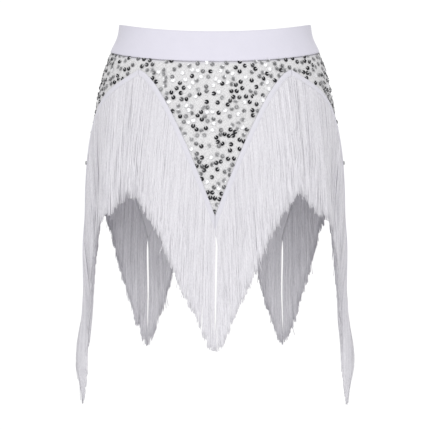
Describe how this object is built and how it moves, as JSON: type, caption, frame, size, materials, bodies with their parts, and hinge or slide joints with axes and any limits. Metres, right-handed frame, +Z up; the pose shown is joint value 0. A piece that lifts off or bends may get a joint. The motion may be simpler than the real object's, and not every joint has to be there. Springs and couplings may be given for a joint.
{
  "type": "belly dance hip skirt",
  "caption": "Worn-shape belly dance hip skirt: plain stretch waistband, sequinned hip panel with a zigzag hem, and a long white fringe hanging from it.",
  "frame": {"origin": "middle of the waistband, on the skirt's centre line at the band's mid height at the sides, where the wearer's waist holds it up", "axes": "+Z up out of the waist, -Y out of the front, +X to the wearer's left"},
  "size_m": [0.3704, 0.2599, 0.5153],
  "materials": {
    "band_jersey": "matt stretch jersey, white with a lavender tint",
    "sequin_cloth": "white knitted mesh sewn with silver cup sequins",
    "fringe_rayon": "soft lustre rayon yarn, white with a lavender tint"
  },
  "bodies": {
    "root": {"waistband_front": "band_jersey", "waistband_back": "band_jersey", "hip_panel_front": "sequin_cloth", "hip_panel_back": "sequin_cloth", "fringe_front_left": "fringe_rayon", "fringe_front_right": "fringe_rayon", "fringe_side_front_left": "fringe_rayon", "fringe_side_front_right": "fringe_rayon", "fringe_side_back_left": "fringe_rayon", "fringe_side_back_right": "fringe_rayon", "fringe_back_outer_left": "fringe_rayon", "fringe_back_outer_right": "fringe_rayon", "fringe_back_inner_left": "fringe_rayon", "fringe_back_inner_right": "fringe_rayon"}
  },
  "joints": []
}
